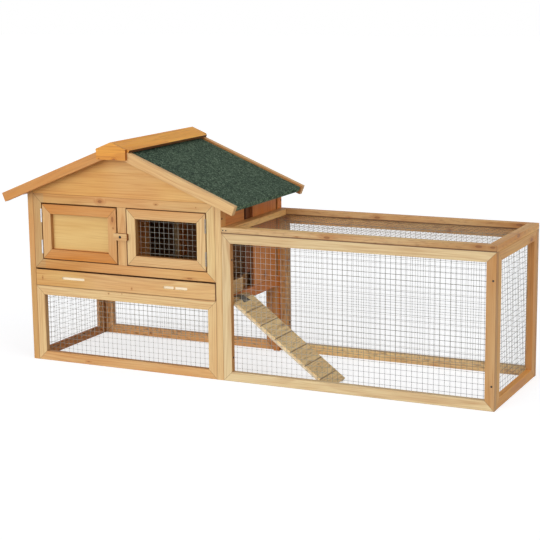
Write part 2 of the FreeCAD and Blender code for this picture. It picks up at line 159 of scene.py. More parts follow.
def blend_value(tree, factor, first, second):
    return add(tree, "ShaderNodeMix", {0: factor, 2: first, 3: second}).outputs[0]


def blend_colour(tree, factor, first, second, kind="MIX"):
    return add(tree, "ShaderNodeMix", {0: factor, 6: first, 7: second},
               data_type="RGBA", blend_type=kind).outputs[2]


def ramp_value(tree, value, low, high, out_low=0.0, out_high=1.0):
    """A smooth step from one value to another between two limits."""
    return add(tree, "ShaderNodeMapRange", {0: value, 1: low, 2: high, 3: out_low, 4: out_high},
               interpolation_type="SMOOTHSTEP").outputs[0]


def random_share(tree, number):
    """A random number from 0 to 1, always the same for the same input."""
    noise = add(tree, "ShaderNodeTexWhiteNoise", {"W": number}, noise_dimensions="1D")
    return noise.outputs["Value"]


def random_parts(tree, cells):
    """The three random numbers in the colour that a cell pattern gives each cell."""
    return add(tree, "ShaderNodeSeparateColor", {0: cells.outputs["Color"]}).outputs


def colour(red, green, blue):
    """A colour as a paint chart gives it, 0 to 255, turned into the linear values of a shader."""
    linear = []
    for part in (red, green, blue):
        share = part / 255
        linear.append(share / 12.92 if share <= 0.04045 else ((share + 0.055) / 1.055) ** 2.4)
    return (*linear, 1.0)


def new_group(name, inputs, outputs):
    """A shader node group. Inputs are names with their defaults, outputs names with kinds."""
    group = bpy.data.node_groups.new(name, "ShaderNodeTree")
    for label, default in inputs.items():
        kind = FLOAT if isinstance(default, float) else {3: VECTOR, 4: COLOUR}[len(default)]
        socket = group.interface.new_socket(label, in_out="INPUT", socket_type=kind)
        socket.default_value = default
    for label, kind in outputs.items():
        group.interface.new_socket(label, in_out="OUTPUT", socket_type=kind)
    return group, add(group, "NodeGroupInput").outputs, add(group, "NodeGroupOutput")


def place_group(tree, group, inputs):
    return add(tree, "ShaderNodeGroup", inputs, node_tree=group).outputs


def principled(tree):
    """The shader that Blender puts into every new material."""
    return tree.nodes["Principled BSDF"]


print("grey 128 is", round(colour(128, 128, 128)[0], 3), "in a shader")

# %% [markdown]
# ## How a mitred frame is cut
# Every frame of the hutch is four strips that meet on 45 degree mitres. The grain has to run
# along each strip and change direction on the mitre line, or the frame looks stamped out of one
# sheet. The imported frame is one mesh, so the strips are told apart by place: whichever outer edge
# is nearer decides the strip, and the two distances are equal exactly on the mitre.
# The group takes a place in the plane of the frame. It gives back a place measured along, across
# and into the strip, a random number and a tone for the strip, thin dark lines at the joints, and
# a mask of the outer rim.

# %% Node group: mitred strips
level_strips, upright_strips, strip_step = 3.0, 7.0, 1.37
mitre_solid, mitre_gone, mitre_dark = 0.0003, 0.0014, 0.7
rim_solid = 0.0004


def make_strip_layout():
    tree, given, out = new_group(
        "strip_layout",
        {"Plane Position": (0, 0, 0), "Centre": (0, 0, 0), "Half Wide": 0.3, "Half High": 0.1,
         "Strip Wide": 0.0285, "Seed": 0.0, "Tone Left": 0.3, "Tone Right": 0.3,
         "Tone Bottom": 0.3, "Tone Top": 0.3, "Seam Wide": 0.0018, "Seam Dark": 0.4, "Face": 1.0},
        {"Grain Position": VECTOR, "Own Seed": FLOAT, "Tone": FLOAT, "Joint": FLOAT, "Rim": FLOAT})
    offset = vector_calc(tree, "SUBTRACT", given["Plane Position"], given["Centre"])
    u, v, depth = split(tree, offset)
    from_side = minus(tree, calc(tree, "ABSOLUTE", u), given["Half Wide"])
    from_end = minus(tree, calc(tree, "ABSOLUTE", v), given["Half High"])
    upright = calc(tree, "GREATER_THAN", from_side, from_end)
    along = blend_value(tree, upright, u, v)
    across = plus(tree, blend_value(tree, upright, from_end, from_side),
                  times(tree, given["Strip Wide"], 0.5))

    right_side = calc(tree, "GREATER_THAN", u, 0.0)
    top_side = calc(tree, "GREATER_THAN", v, 0.0)
    tone_upright = blend_value(tree, right_side, given["Tone Left"], given["Tone Right"])
    tone_level = blend_value(tree, top_side, given["Tone Bottom"], given["Tone Top"])
    which = blend_value(tree, upright, plus(tree, top_side, level_strips),
                        plus(tree, right_side, upright_strips))
    number = plus(tree, times(tree, which, strip_step), given["Seed"])

    gap = calc(tree, "ABSOLUTE", minus(tree, from_side, from_end))
    mitre = ramp_value(tree, gap, mitre_solid, mitre_gone, mitre_dark, 0.0)
    inward = times(tree, calc(tree, "MAXIMUM", from_side, from_end), -1.0)
    rim = times(tree, ramp_value(tree, inward, rim_solid, given["Seam Wide"], 1.0, 0.0),
                given["Face"])
    fill(tree, out, {
        "Grain Position": join(tree, along, across, depth),
        "Own Seed": random_share(tree, number),
        "Tone": blend_value(tree, upright, tone_level, tone_upright),
        "Joint": calc(tree, "MAXIMUM", mitre, times(tree, rim, given["Seam Dark"])),
        "Rim": rim})
    return tree


strip_layout = make_strip_layout()
print("group", strip_layout.name, "with", len(strip_layout.nodes), "nodes")

# %% [markdown]
# ## How boards lie
# Posts, planks and walls are single boards or rows of boards. Their group gets the direction of
# the grain and the direction across it, and the width of one board. Counting board widths tells
# the boards of a wall apart, so each gets its own random number. The roof is the same on both
# sides of the ridge, so a mirror input folds the left half onto the right one.

# %% Node group: boards in rows
row_step, left_step, rear_step = 2.31, 5.17, 9.41
joint_solid = 0.0003


def make_board_layout():
    tree, given, out = new_group(
        "board_layout",
        {"Position": (0, 0, 0), "Centre": (0, 0, 0), "Along": (0, 0, 1), "Across": (1, 0, 0),
         "Into": (0, 1, 0), "Board Wide": 10.0, "Mirror": 0.0, "Seed": 0.0, "Tone": 0.3,
         "Tone Spread": 0.0, "Left Tone": 0.0, "Joint Wide": 0.0018, "Joint Dark": 0.6},
        {"Grain Position": VECTOR, "Own Seed": FLOAT, "Tone": FLOAT, "Joint": FLOAT})
    x, y, z = split(tree, vector_calc(tree, "SUBTRACT", given["Position"], given["Centre"]))
    folded = blend_value(tree, given["Mirror"], x, calc(tree, "ABSOLUTE", x))
    place = join(tree, folded, y, z)
    along, across, into = [vector_calc(tree, "DOT_PRODUCT", place, given[direction])
                           for direction in ("Along", "Across", "Into")]
    rows = calc(tree, "DIVIDE", across, given["Board Wide"])
    row = calc(tree, "ROUND", rows)
    local = times(tree, minus(tree, rows, row), given["Board Wide"])

    left = times(tree, calc(tree, "LESS_THAN", x, 0.0), given["Mirror"])
    rear = times(tree, calc(tree, "GREATER_THAN", y, 0.0), given["Mirror"])
    number = plus(tree, times(tree, row, row_step), given["Seed"],
                  times(tree, left, left_step), times(tree, rear, rear_step))
    own_seed = random_share(tree, number)
    spread = times(tree, minus(tree, own_seed, 0.5), given["Tone Spread"])
    edge = minus(tree, times(tree, given["Board Wide"], 0.5), calc(tree, "ABSOLUTE", local))
    fill(tree, out, {
        "Grain Position": join(tree, along, local, into),
        "Own Seed": own_seed,
        "Tone": plus(tree, given["Tone"], spread, times(tree, left, given["Left Tone"])),
        "Joint": times(tree, ramp_value(tree, edge, joint_solid, given["Joint Wide"], 1.0, 0.0),
                       given["Joint Dark"])})
    return tree


board_layout = make_board_layout()
print("group", board_layout.name, "with", len(board_layout.nodes), "nodes")

# %% [markdown]
# ## Pine
# Pine is a stack of yearly rings, and a board is a flat cut through them. So the pattern is made
# the way the tree makes it: the distance from the heart of the tree, pushed about a little along
# the trunk, is cut into rings, each pale at first and dark at its end. A flat board then shows
# long streaks and arches by itself, its edges show tight lines and its ends show curved rings.
# Knots are branches, which cross the rings and push them aside. Fine fibres, streaks, small
# blotches and a slow change of tone break up what is left. The tone goes from pale sapwood to
# honey coloured wood. The steps only take each board to another part of the same patterns, so any
# uneven numbers do.

# %% Node group: pine
trunk_step = 23.7
cells_a_metre, cell_step = 9.0, 7.3
knot_small, knot_large, no_knot = 0.022, 0.075, 9.0
heart_spread, heart_near, heart_range, heart_step = 0.07, 0.012, 0.05, 13.7
wander_reach, knot_push = 0.026, 0.006
tone_swing, tone_most = 1.1, 1.35


def make_pine():
    tree, given, out = new_group(
        "pine",
        {"Grain Position": (0, 0, 0), "Seed": 0.0, "Tone": 0.3, "Joint": 0.0,
         "Pale": white, "Honey": white, "Ring": white, "Knot": white, "Ring Depth": 0.5,
         "Ring Spacing": 0.004, "Knot Share": 0.4, "Placed Far": no_knot, "Blotch": 0.0},
        {"Colour": COLOUR, "Roughness": FLOAT, "Height": FLOAT})
    seed = given["Seed"]
    from_middle, across, into = split(tree, given["Grain Position"])
    along = plus(tree, from_middle, times(tree, seed, trunk_step))

    def stretched(long, wide, detail, shift=0.0):
        """Noise drawn out along the grain: so many waves a metre along it and across it."""
        place = join(tree, times(tree, along, long),
                     plus(tree, times(tree, across, wide), shift), times(tree, into, wide))
        return add(tree, "ShaderNodeTexNoise", {"Vector": place, "Scale": 1.0, "Detail": detail},
                   normalize=True).outputs["Fac"]

    # Knots that fall anywhere: one in some of the cells, at a distance counted in knot sizes.
    branch_place = join(tree, times(tree, along, cells_a_metre),
                        plus(tree, times(tree, across, cells_a_metre),
                             times(tree, seed, cell_step)))
    cells = add(tree, "ShaderNodeTexVoronoi", {"Vector": branch_place, "Scale": 1.0},
                voronoi_dimensions="2D")
    pick = random_parts(tree, cells)
    present = calc(tree, "LESS_THAN", pick[0], given["Knot Share"])
    size = ramp_value(tree, pick[1], 0.0, 1.0, knot_small, knot_large)
    far = plus(tree, calc(tree, "DIVIDE", cells.outputs["Distance"], size),
               times(tree, minus(tree, 1.0, present), no_knot))
    far = calc(tree, "MINIMUM", far, given["Placed Far"])
    knot = ramp_value(tree, far, 0.75, 1.1, 1.0, 0.0)
    core = ramp_value(tree, far, 0.25, 0.9, 1.0, 0.0)
    halo = ramp_value(tree, far, 1.0, 3.6, 1.0, 0.0)

    # Rings round the heart of the tree, which lies behind the board.
    heart_side = times(tree, minus(tree, seed, 0.5), heart_spread)
    behind = calc(tree, "FRACT", times(tree, seed, heart_step))
    heart_deep = minus(tree, -heart_near, times(tree, behind, heart_range))
    dx, dy = minus(tree, across, heart_side), minus(tree, into, heart_deep)
    radius = calc(tree, "SQRT", plus(tree, times(tree, dx, dx), times(tree, dy, dy)))
    wander = times(tree, minus(tree, stretched(1.8, 12.0, 2.0), 0.5), wander_reach)
    pushed = plus(tree, radius, wander, times(tree, halo, knot_push))
    year = calc(tree, "FRACT", calc(tree, "DIVIDE", pushed, given["Ring Spacing"]))
    late = times(tree, ramp_value(tree, year, 0.25, 0.85),
                 ramp_value(tree, year, 0.88, 1.0, 1.0, 0.0))

    uneven = ramp_value(tree, stretched(1.7, 22.0, 1.0, 9.0), 0.3, 0.7)
    fibre = stretched(14.0, 900.0, 2.0)
    streak = stretched(7.0, 330.0, 2.0, 3.0)
    slow = stretched(3.1, 24.0, 2.0, 4.0)
    blotch = stretched(42.0, 150.0, 3.0, 6.0)

    # The ground colour, then one coat after another: its share, and the colour that it adds.
    tone = plus(tree, given["Tone"], times(tree, minus(tree, slow, 0.5), tone_swing))
    tone = add(tree, "ShaderNodeClamp", {0: tone, 1: 0.0, 2: tone_most}).outputs[0]
    wood = add(tree, "ShaderNodeMix", {0: tone, 6: given["Pale"], 7: given["Honey"]},
               data_type="RGBA", clamp_factor=False).outputs[2]
    for share, paint in (
            (times(tree, late, uneven, given["Ring Depth"]), "Ring"),
            (times(tree, ramp_value(tree, fibre, 0.35, 0.75), 0.20), "Ring"),
            (times(tree, ramp_value(tree, streak, 0.5, 0.68), 0.36), "Ring"),
            (times(tree, ramp_value(tree, blotch, 0.5, 0.72), given["Blotch"]), "Knot"),
            (times(tree, halo, 0.48), "Ring"),
            (times(tree, knot, 0.62), "Knot"),
            (times(tree, core, 0.45), "Ring"),
            (times(tree, given["Joint"], 0.75), "Knot")):
        wood = blend_colour(tree, share, wood, given[paint])
    height = plus(tree, times(tree, fibre, 0.5), times(tree, late, 0.25))
    fill(tree, out, {
        "Colour": wood,
        "Roughness": minus(tree, blend_value(tree, late, 0.62, 0.52), times(tree, knot, 0.12)),
        "Height": minus(tree, height, times(tree, given["Joint"], 0.5))})
    return tree


pine = make_pine()
print("group", pine.name, "with", len(pine.nodes), "nodes")

# %% [markdown]
# ## Palettes
# A palette is what one kind of timber gives to the pine group: its colours, the depth and spacing
# of its rings, in metres, how many cells hold a knot, and how blotched it is. The house and the
# run are stained pine, the ridge cap is a stronger orange, the thin door panel is yellow, and the
# untreated ramp is greyer. Shaded and dark pine are painted shade: copies of the pine as it looks
# on sides in shade and in deep shade. Warm pine is a brighter, blotched copy, painted light for
# the inner strips under the house.

# %% Palettes
palettes = {}
looks = ("Pale", "Honey", "Ring", "Knot", "Ring Depth", "Ring Spacing", "Knot Share", "Blotch")
for name, *values in (
        ("pine", (226, 196, 142), (204, 140, 72), (176, 106, 48), (100, 48, 20),
         0.38, 0.0046, 0.3, 0.0),
        ("plain_pine", (228, 190, 128), (210, 150, 80), (186, 116, 54), (100, 48, 20),
         0.22, 0.0060, 0.0, 0.0),
        ("run_pine", (224, 202, 156), (186, 134, 76), (164, 104, 52), (92, 48, 22),
         0.34, 0.0050, 0.2, 0.0),
        ("shaded_pine", (226, 162, 94), (206, 120, 50), (160, 86, 34), (84, 38, 16),
         0.45, 0.0046, 0.3, 0.0),
        ("warm_pine", (248, 190, 124), (222, 146, 76), (186, 112, 52), (92, 44, 20),
         0.40, 0.0046, 0.3, 0.55),
        ("dark_pine", (150, 92, 48), (112, 60, 26), (84, 42, 18), (50, 22, 10),
         0.40, 0.0046, 0.2, 0.0),
        ("cap", (238, 182, 86), (216, 134, 46), (170, 90, 26), (112, 44, 18),
         0.50, 0.0040, 0.3, 0.0),
        ("panel", (226, 194, 128), (212, 166, 96), (198, 148, 82), (184, 116, 50),
         0.20, 0.0060, 0.0, 0.0),
        ("ramp", (250, 220, 162), (212, 170, 112), (176, 128, 74), (92, 56, 28),
         0.45, 0.0050, 0.3, 0.4),
        ("raw", (236, 220, 190), (216, 186, 142), (188, 150, 102), (150, 106, 64),
         0.30, 0.0050, 0.1, 0.0)):
    palettes[name] = {look: colour(*value) if isinstance(value, tuple) else value
                      for look, value in zip(looks, values)}
palettes["mottled_pine"] = {**palettes["pine"], "Blotch": 0.45}
palettes["mottled_run_pine"] = {**palettes["run_pine"], "Blotch": 0.3}
print("palettes:", ", ".join(palettes))

# %% [markdown]
# ## Placed knots, and faces by direction
# The few large knots of the real boards are put where they are, one by one. One group gives the
# distance to such a knot, flattened, because a branch is seldom cut straight across. The other
# group tells which way a face looks. It reads the normal of the object, not of the world, so a
# door keeps its painted shade and stain when it swings.

# %% Node groups: branch and facing
def make_branch():
    """How far a place is from a listed knot, counted in knot sizes."""
    tree, given, out = new_group(
        "branch",
        {"Position": (0, 0, 0), "Knot Place": (0, 0, 0), "Flatten": (1, 0, 1), "Size": 0.004},
        {"Far": FLOAT})
    offset = vector_calc(tree, "SUBTRACT", given["Position"], given["Knot Place"])
    flat = vector_calc(tree, "MULTIPLY", offset, given["Flatten"])
    distance = vector_calc(tree, "LENGTH", flat)
    fill(tree, out, {"Far": calc(tree, "DIVIDE", distance, given["Size"])})
    return tree


def make_facing():
    """A mask of the faces that look along a direction, and one of those that look either way."""
    tree, given, out = new_group("facing", {"Direction": (0, 0, 1)},
                                 {"Toward": FLOAT, "Either": FLOAT})
    normal = add(tree, "ShaderNodeTexCoord").outputs["Normal"]
    dot = vector_calc(tree, "DOT_PRODUCT", normal, given["Direction"])
    fill(tree, out, {"Toward": ramp_value(tree, dot, 0.5, 0.8),
                     "Either": ramp_value(tree, calc(tree, "ABSOLUTE", dot), 0.5, 0.8)})
    return tree


branch, facing = make_branch(), make_facing()
print("groups", branch.name, "and", facing.name)

# %% [markdown]
# ## Coats
# A coat is one more colour over the colour that the material has. Most coats here are painted
# light and shade: the sides of a strip are darker than its front, as painted shade and deeper
# stain, the tops are brighter as painted light, and faces inside are darker as painted shade.
# Along a board the colour drifts from one end to the other. Its mask comes from the direction of
# the face or from the place along an axis, so it is the same from every side.

# %% Coats
X, Z = 0, 2
to_front, to_right, to_top = (0, -1, 0), (1, 0, 0), (0, 0, 1)
woods = {}


def tint(material, mask, paint, kind="MIX"):
    """One more coat over the colour that a material has, where the mask says so."""
    tree = material.node_tree
    shader = principled(tree)
    below = shader.inputs["Base Color"].links[0].from_socket
    coated = blend_colour(tree, mask, below, (*paint[:3], 1.0), kind)
    fill(tree, shader, {"Base Color": coated})


def tint_facing(material, direction, stain_and_shading, share=1.0):
    """A colour multiplied onto the faces that look in one direction: painted light and shade."""
    tree = material.node_tree
    toward = place_group(tree, facing, {"Direction": direction})["Toward"]
    tint(material, times(tree, toward, share), stain_and_shading, "MULTIPLY")


def tint_faces(*rows):
    """Painted light and shade on wooden pieces. A row is piece, direction, colour, and share if not
    1.
    """
    for name, *stain_and_shading in rows:
        tint_facing(woods[name], *stain_and_shading)


def tint_edges(material, across, stain_and_shading, share=1.0):
    """Painted shade, with some deeper stain, multiplied onto the faces that don't look across the
    piece.
    """
    tree = material.node_tree
    either = place_group(tree, facing, {"Direction": across})["Either"]
    tint(material, times(tree, minus(tree, 1.0, either), share), stain_and_shading, "MULTIPLY")


def tint_place(material, part, start, end, share, paint, direction=None, kind="MIX"):
    """A coat that grows from nothing at one place along an axis to its full share at another."""
    tree = material.node_tree
    where = split(tree, object_place(tree))[part]
    mask = times(tree, ramp_value(tree, where, min(start, end), max(start, end),
                                  float(start > end), float(start < end)), share)
    if direction:
        mask = times(tree, mask, place_group(tree, facing, {"Direction": direction})["Toward"])
    tint(material, mask, paint, kind)


def drift(name, *steps):
    """Front faces whose colour drifts along an axis. A step is the axis, start, end and colour."""
    for part, start, end, stain_and_shading in steps:
        tint_place(woods[name], part, start, end, 1.0, stain_and_shading, to_front, "MULTIPLY")


print("coats for faces that look", to_front, to_right, to_top)

# %% [markdown]
# ## From layout to finish
# A layout group says where the grain runs, the pine group says what the wood looks like there,
# and the shader that reflects the light stays in the material itself. The hutch is sealed with a
# thin honey coloured stain, so the wood has a soft sheen and no gloss. The next helpers finish any
# surface, give a piece its material, and make the wood from a layout. A seed is any number, and
# picks which part of the pattern a piece is cut from.

# %% Helpers: finishing a material
def new_material(name):
    material = bpy.data.materials.new(name)
    material.use_nodes = True
    return material, material.node_tree


def finish_surface(tree, height, strength, depth, inputs):
    """Feed the shader of a material, with a bump from the height of its grain."""
    bump = add(tree, "ShaderNodeBump", {"Height": height, "Strength": strength, "Distance": depth})
    fill(tree, principled(tree), {"Normal": bump.outputs[0], **inputs})


def dress(name, material):
    """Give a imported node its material, in every slot that it has."""
    mesh = nodes[name].data
    mesh.materials.clear()
    mesh.materials.append(material)


print("a surface can be finished and a piece dressed")

# %% Wood for frames and boards
axis = {"x": Vector((1, 0, 0)), "y": Vector((0, 1, 0)), "z": Vector((0, 0, 1))}
plane_axes = {"x": (1, 2, 0), "y": (0, 2, 1), "z": (0, 1, 2)}
# The sides of the frame strips are darker: painted shade, and the stain also soaks deeper there.
edge_stain_and_shade = (0.55, 0.40, 0.28)


def finish_wood(name, material, layout, palette, knots):
    """Wood for one piece. Knots lists the placed ones, and None lets them fall anywhere."""
    tree = material.node_tree
    inputs = {**palettes[palette], "Grain Position": layout["Grain Position"],
              "Seed": layout["Own Seed"], "Tone": layout["Tone"], "Joint": layout["Joint"]}
    if knots is not None:
        inputs["Knot Share"] = 0.0
    for place, size, flatten in knots or ():
        far = place_group(tree, branch, {"Position": object_place(tree), "Knot Place": place,
                                         "Flatten": flatten, "Size": size})["Far"]
        nearest = inputs.get("Placed Far")
        inputs["Placed Far"] = calc(tree, "MINIMUM", nearest, far) if nearest else far
    grain = place_group(tree, pine, inputs)
    finish_surface(tree, grain["Height"], 0.25, 0.0006,
                   {"Base Color": grain["Colour"], "Roughness": grain["Roughness"],
                    "Specular IOR Level": 0.35})
    dress(name, material)
    woods[name] = material


def place_strips(tree, name, across, inputs):
    """The strip layout on the box of a piece. Across is the axis square to its plane."""
    low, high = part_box(name)
    middle, half = (low + high) / 2, (high - low) / 2
    u, v, w = plane_axes[across]
    place = split(tree, object_place(tree))
    return place_group(tree, strip_layout, {
        "Plane Position": join(tree, place[u], place[v], place[w]),
        "Centre": (middle[u], middle[v], middle[w]),
        "Half Wide": half[u], "Half High": half[v], **inputs})


def frame_wood(name, across, tones, seed, palette="pine", strip=0.0285, seam_dark=0.4,
               edges=0.5, stain_and_shading=edge_stain_and_shade, knots=None):
    """Wood for a mitred frame. Tones are left, right, bottom, top, from 0, pale, to 1, honey."""
    material, tree = new_material(name + "_wood")
    layout = place_strips(tree, name, across, {
        "Face": place_group(tree, facing, {"Direction": axis[across]})["Either"],
        "Strip Wide": strip, "Seed": seed, "Seam Dark": seam_dark,
        **dict(zip(("Tone Left", "Tone Right", "Tone Bottom", "Tone Top"), tones))})
    finish_wood(name, material, layout, palette, knots)
    if edges:
        tint_edges(material, axis[across], stain_and_shading, edges)


def board_wood(name, along, across, tone, seed, palette="pine", wide=None, spread=0.0,
               centre=None, mirror=0.0, left_tone=0.0, joint_wide=0.0018, joint_dark=0.6,
               knots=None):
    """Wood for boards, single or in rows. Along the grain and across it are axes or vectors."""
    low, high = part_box(name)
    grain, side = (axis[way] if isinstance(way, str) else way for way in (along, across))
    material, tree = new_material(name + "_wood")
    layout = place_group(tree, board_layout, {
        "Position": object_place(tree), "Centre": centre or (low + high) / 2,
        "Along": grain, "Across": side, "Into": grain.cross(side),
        "Board Wide": wide or (high - low).dot(side), "Mirror": mirror, "Seed": seed,
        "Tone": tone, "Tone Spread": spread, "Left Tone": left_tone,
        "Joint Wide": joint_wide, "Joint Dark": joint_dark})
    finish_wood(name, material, layout, palette, knots)


# The sides of the strips are darkened by painted shade as well as by stain.
print("strips are stained", edge_stain_and_shade, "on their edges")

# %% [markdown]
# ## The house front
# The four strips of a real frame come from different lengths of timber, so each has a tone of its
# own. The tones were read from the picture, strip by strip. The narrow faces in the gaps round the
# doors and the drawer see little light, so they are painted darkest, as painted shade.

# %% Frames of the house
# Painted shade for the narrow faces in the gaps round the doors and the drawer.
door_gap_shade = (0.30, 0.16, 0.09)
door_strip = 0.030
# A placed knot is its place, its size and how it is flattened. Clear timber has none.
round_knot = (1, 0, 1)
clear = ()
# The upper front frame's narrow faces in the door gaps carry that painted shade.
frame_wood("upper_front_frame", "y", (0.5, 0.25, 0.68, 0.5), 1.0, seam_dark=0.25,
           edges=1.0, stain_and_shading=door_gap_shade,
           knots=[((-0.4545, 0, 0.5109), 0.0045, (0.6, 0, 1)),
                  ((-0.2607, 0, 0.5123), 0.0020, (0.5, 0, 1)),
                  ((-0.1268, 0, 0.5107), 0.0012, round_knot),
                  ((-0.1520, 0, 0.2980), 0.0020, (0.2, 0, 1))])
frame_wood("left_door_frame", "y", (0.6, 0.75, 0.9, 0.92), 2.0, strip=door_strip,
           seam_dark=0.7, edges=0.8,
           knots=[((-0.4125, 0, 0.4590), 0.0042, (1, 0, 0.45)),
                  ((-0.4105, 0, 0.4330), 0.0022, round_knot)])
frame_wood("right_door_frame", "y", (0.1, 0.0, 0.35, 0.5), 3.0, strip=door_strip,
           seam_dark=0.7, edges=1.0, knots=clear)
frame_wood("lower_front_frame", "y", (0.1, 0.1, 0.5, 0.0), 4.0, seam_dark=0.3,
           knots=[((-0.4336, 0, 0.2300), 0.0016, round_knot),
                  ((-0.3872, 0, 0.2331), 0.0010, round_knot),
                  ((-0.5142, 0, 0.0090), 0.0014, (0.3, 0, 1))])
# The inner strips under the house take warm pine: painted light, a brighter copy for faces in
# shade.
frame_wood("lower_back_frame", "y", (-0.1, 0.7, 0.0, 0.2), 5.0, "warm_pine", edges=0.4,
           knots=[((-0.5223, 0, 0.0131), 0.0035, round_knot)])
frame_wood("lower_left_frame", "x", (0.5, -0.2, 1.0, 0.5), 6.0, "warm_pine", edges=0.7)
drift("upper_front_frame", (X, -0.45, -0.56, (0.91, 0.86, 0.70)),
      (X, -0.32, -0.20, (1.04, 1.14, 1.18)), (X, -0.655, -0.660, (0.92, 1.04, 1.30)))
print("frames so far:", ", ".join(woods))

# %% Posts, mullion and drawer front
board_wood("front_left_post", "z", "x", 0.6, 1.0, joint_dark=0.4, knots=clear)
board_wood("front_right_post", "z", "x", 0.0, 2.0, knots=clear)
board_wood("rear_left_post", "z", "x", 0.5, 3.0)
# The rear right post takes shaded pine: painted shade.
board_wood("rear_right_post", "z", "x", 0.3, 4.0, "shaded_pine", joint_dark=0.3)
board_wood("door_mullion", "z", "x", 0.5, 5.0, knots=clear)
board_wood("drawer_front", "x", "z", 0.42, 6.0, joint_wide=0.0014, joint_dark=0.3,
           knots=[((-0.6716, 0, 0.2614), 0.0014, (1, 0, 0.45)),
                  ((-0.3518, 0, 0.2520), 0.0014, (1, 0, 0.6))])
# Painted light: the right sides of the right posts are brighter and more orange, as if lit.
tint_faces(("front_right_post", to_right, (1.5, 1.2, 0.78)),
           ("rear_right_post", to_right, (1.35, 1.08, 0.65)))
# Painted shade on the narrow faces of the mullion and the drawer front in the gaps.
for name in ("door_mullion", "drawer_front"):
    tint_edges(woods[name], axis["y"], door_gap_shade)
drift("drawer_front", (X, -0.45, -0.56, (0.95, 0.89, 0.70)),
      (X, -0.35, -0.20, (1.04, 1.08, 1.08)))
drift("front_left_post", (Z, 0.35, 0.27, (0.91, 0.92, 0.84)),
      (Z, 0.42, 0.50, (0.98, 1.12, 1.25)))
print("pieces with wood:", len(woods))

# %% [markdown]
# ## The finger grooves
# The two grooves of the drawer are bare, pale wood, where the rest is stained. They are told from
# the rest of the board by their height and by their depth behind the front face. A stripe of stain
# crosses the right one. A dark line marks where the board ends at the right post.

# %% Bare wood in the grooves
groove_height, groove_half = 0.2655, 0.0048
stripe_place, stripe_half = -0.2070, 0.0030
groove_reach = 0.25
stained_skin, bare_depth = 0.0004, 0.0010
line_wide, line_solid, line_share = 0.0035, 0.0015, 0.85
end_line, bare_wood = colour(84, 40, 18), colour(242, 228, 202)
drawer_low, drawer_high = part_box("drawer_front")
drawer_wood = woods["drawer_front"]
tree = drawer_wood.node_tree
tint_place(drawer_wood, X, drawer_high.x - line_wide, drawer_high.x - line_solid, line_share,
           end_line)
x, y, z = split(tree, object_place(tree))
deep = ramp_value(tree, y, drawer_low.y + stained_skin, drawer_low.y + bare_depth)
level = calc(tree, "COMPARE", z, groove_height, groove_half)
stripe = calc(tree, "COMPARE", x, stripe_place, stripe_half)
reach = calc(tree, "COMPARE", x, (drawer_low.x + drawer_high.x) / 2, groove_reach)
tint(drawer_wood, times(tree, deep, level, minus(tree, 1.0, stripe), reach), bare_wood)
print("drawer front", [round(v, 3) for v in drawer_high - drawer_low])

# %% [markdown]
# ## Walls and inside
# The upper walls are rows of level boards, five to a wall. The top board of the left wall is cut
# to the slope of the roof, so a row there is a little less than a fifth of the wall's box. What
# lies inside is painted darker, as painted shade, so the rooms keep their depth under the soft
# light of a studio.

# %% Wood of the walls and the inside
rows = 5
back_low, back_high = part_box("upper_back_wall")
back_row = (back_high.z - back_low.z) / rows
left_low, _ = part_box("upper_left_wall")
left_row = 0.0679
# Painted shade for faces inside the house.
inside_shade = (0.50, 0.38, 0.30)
one_board = 10.0  # wider than any board, so no joint shows
board_wood("upper_back_wall", "x", "z", 0.5, 7.0, wide=back_row, spread=0.5)
board_wood("upper_left_wall", "y", "z", 0.5, 8.0, wide=left_row, spread=0.5,
           centre=Vector((left_low.x, 0, left_low.z + left_row / 2)))
# The right wall's panel, lining, header and rail take shaded and dark pine: painted shade.
board_wood("right_wall_panel", "z", "y", 0.75, 9.0, "shaded_pine", joint_dark=0.8)
board_wood("right_wall_lining", "z", "y", 0.6, 10.0, "dark_pine")
board_wood("doorway_header", "y", "z", 0.4, 33.0, "shaded_pine")
board_wood("right_side_rail", "y", "z", 0.95, 11.0, "shaded_pine")
board_wood("doorway_sill", "y", "z", 0.9, 12.0, "ramp")
board_wood("room_partition", "z", "y", 0.6, 13.0, wide=0.06, spread=0.6)
board_wood("gable_front", "x", "z", 0.45, 14.0, "plain_pine", wide=one_board, knots=clear)
board_wood("gable_rear", "x", "z", 0.5, 15.0, wide=one_board)
board_wood("drawer_runners", "y", "x", 0.5, 16.0)
# Painted shade: inner face of back wall, top of sill, and right face of partition, deeper and
# warmer.
tint_faces(("upper_back_wall", to_front, (0.38, 0.28, 0.25)),
           ("doorway_sill", to_top, inside_shade),
           ("room_partition", to_right, (1.15, 0.84, 0.55)))
drift("gable_front", (X, -0.36, -0.47, (0.97, 0.88, 0.68)),
      (X, -0.30, -0.20, (1.07, 1.12, 1.08)))
print("wall boards", round(back_row, 4), "m high")

# %% [markdown]
# ## The roof timbers
# The bargeboards and the cap run down both slopes. The mirror input folds the left slope onto the
# right one, and the grain direction is turned by the pitch of the roof, so it follows each board.

# %% Wood of the roof
roof_rise = 0.4045
roof_pitch = math.atan(roof_rise)
down_slope = Vector((math.cos(roof_pitch), 0, -math.sin(roof_pitch)))
off_slope = Vector((math.sin(roof_pitch), 0, math.cos(roof_pitch)))
# The cap board faces that look down the slope, which are painted in shade.
cap_shaded_edge = (0.93, 0, -0.37)
cap_low, cap_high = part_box("ridge_cap_boards")
ridge = Vector(((cap_low.x + cap_high.x) / 2, 0, cap_high.z))
below_ridge = 0.026
for name, tone in (("bargeboards_front", 0.28), ("bargeboards_rear", 0.35)):
    low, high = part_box(name)
    board_wood(name, down_slope, off_slope, tone, 17.0 + tone, wide=one_board, mirror=1.0,
               centre=Vector((ridge.x, (low.y + high.y) / 2, ridge.z - below_ridge)),
               left_tone=0.65, knots=clear)
